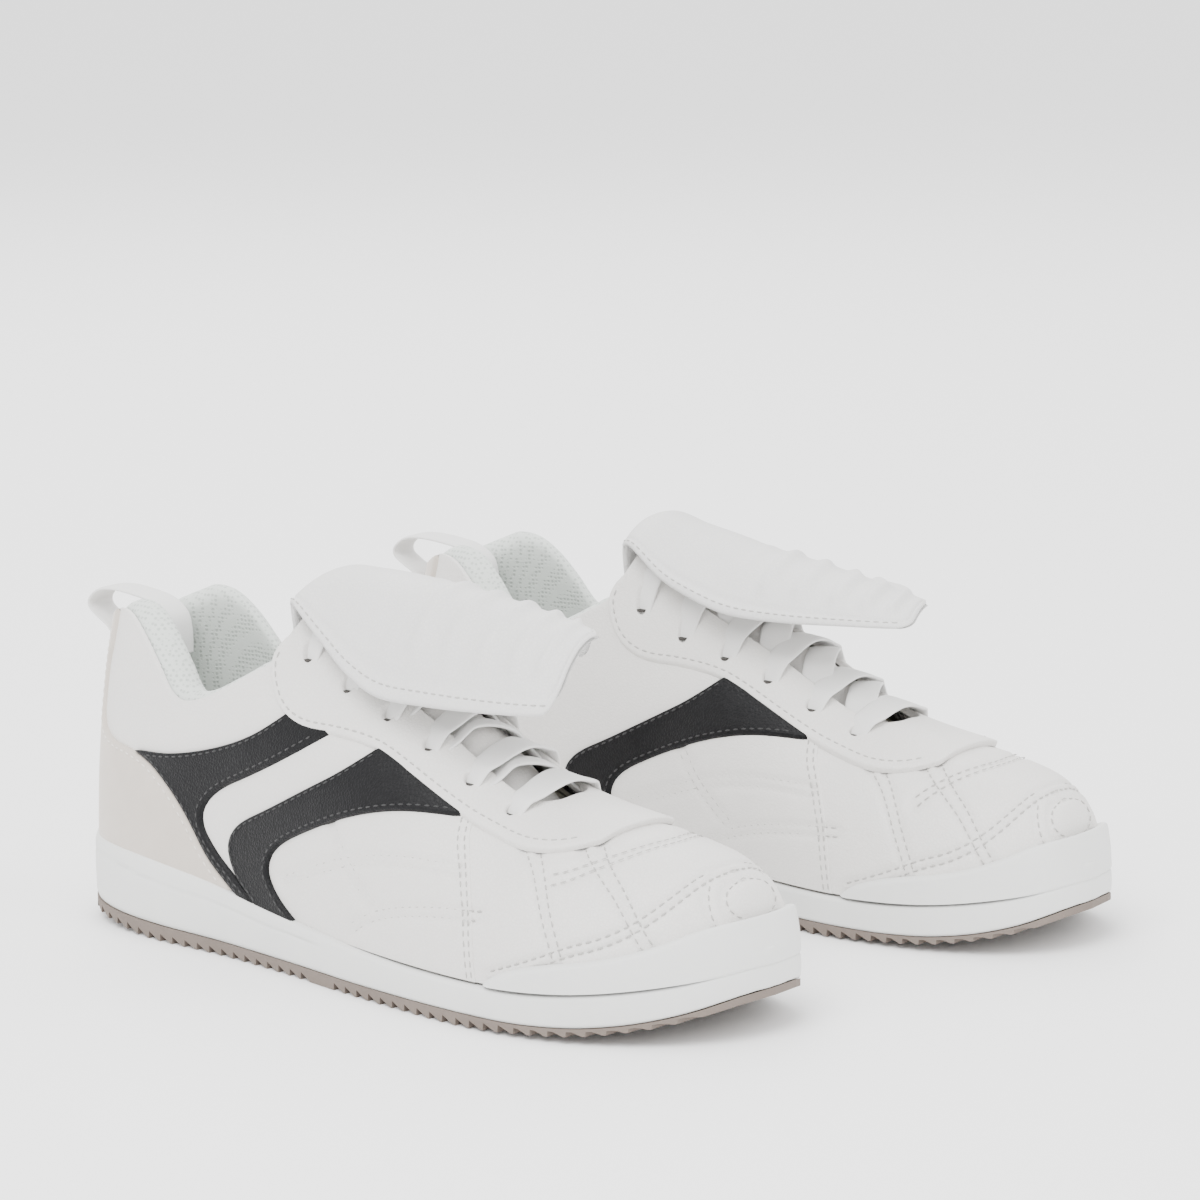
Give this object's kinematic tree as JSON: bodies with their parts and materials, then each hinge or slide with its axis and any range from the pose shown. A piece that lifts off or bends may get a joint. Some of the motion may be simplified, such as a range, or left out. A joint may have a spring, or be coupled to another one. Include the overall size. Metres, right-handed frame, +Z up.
{
  "type": "cheer shoes",
  "caption": "Pair of low lace-up trainers in white leather with black side stripes, suede heel counters and a long tongue flap folded forward over the laces.",
  "frame": {"origin": "on the ground under the middle of the pair", "axes": "+X towards the toes, +Y towards the wearer's left (the left shoe), +Z up"},
  "size_m": [0.303, 0.2422, 0.1248],
  "materials": {
    "outsole_rubber": "matt",
    "midsole_foam": "matt",
    "insole_fibreboard": "matt",
    "mesh_lining": "matt",
    "white_leather": "grained, satin",
    "upholstery_foam": "matt",
    "stiffener_sheet": "matt",
    "beige_suede": "napped, matt",
    "black_leather": "grained, satin",
    "lace_webbing": "matt",
    "aglet_plastic": "glossy",
    "loop_webbing": "matt"
  },
  "bodies": {
    "right_shoe": {"right_aglet_lateral": "aglet_plastic", "right_aglet_medial": "aglet_plastic", "right_collar_foam": "upholstery_foam", "right_collar_lining": "mesh_lining", "right_eyestay": "white_leather", "right_heel_counter_cover": "beige_suede", "right_heel_stiffener": "stiffener_sheet", "right_insole_board": "insole_fibreboard", "right_lace": "lace_webbing", "right_midsole": "midsole_foam", "right_outsole": "outsole_rubber", "right_pull_loop": "loop_webbing", "right_quarter_lateral": "white_leather", "right_quarter_medial": "white_leather", "right_sockliner": "mesh_lining", "right_stripe_front_lateral": "black_leather", "right_stripe_front_medial": "black_leather", "right_stripe_rear_lateral": "black_leather", "right_toe_puff": "stiffener_sheet", "right_toe_rand": "midsole_foam", "right_tongue": "white_leather", "right_vamp": "white_leather", "right_vamp_lining": "mesh_lining", "right_vamp_padding": "upholstery_foam"},
    "right_flap": {"right_tongue_flap": "white_leather"},
    "left_shoe": {"left_aglet_lateral": "aglet_plastic", "left_aglet_medial": "aglet_plastic", "left_collar_foam": "upholstery_foam", "left_collar_lining": "mesh_lining", "left_eyestay": "white_leather", "left_heel_counter_cover": "beige_suede", "left_heel_stiffener": "stiffener_sheet", "left_insole_board": "insole_fibreboard", "left_lace": "lace_webbing", "left_midsole": "midsole_foam", "left_outsole": "outsole_rubber", "left_pull_loop": "loop_webbing", "left_quarter_lateral": "white_leather", "left_quarter_medial": "white_leather", "left_sockliner": "mesh_lining", "left_stripe_front_lateral": "black_leather", "left_stripe_front_medial": "black_leather", "left_stripe_rear_lateral": "black_leather", "left_toe_puff": "stiffener_sheet", "left_toe_rand": "midsole_foam", "left_tongue": "white_leather", "left_vamp": "white_leather", "left_vamp_lining": "mesh_lining", "left_vamp_padding": "upholstery_foam"},
    "left_flap": {"left_tongue_flap": "white_leather"}
  },
  "joints": [
    {"name": "right_flap_fold", "type": "hinge", "parent": "right_shoe", "child": "right_flap", "pos_m": [-0.0445, -0.07037, 0.106], "axis": [-0.0372, -0.9993, 0], "range_deg": [0, 110]},
    {"name": "left_shoe_lift", "type": "slide", "parent": "right_shoe", "child": "left_shoe", "axis": [0, 0, 1], "range_m": [0, 0.15]},
    {"name": "left_flap_fold", "type": "hinge", "parent": "left_shoe", "child": "left_flap", "pos_m": [-0.0268, 0.07037, 0.106], "axis": [0.0372, -0.9993, 0], "range_deg": [0, 110]}
  ]
}
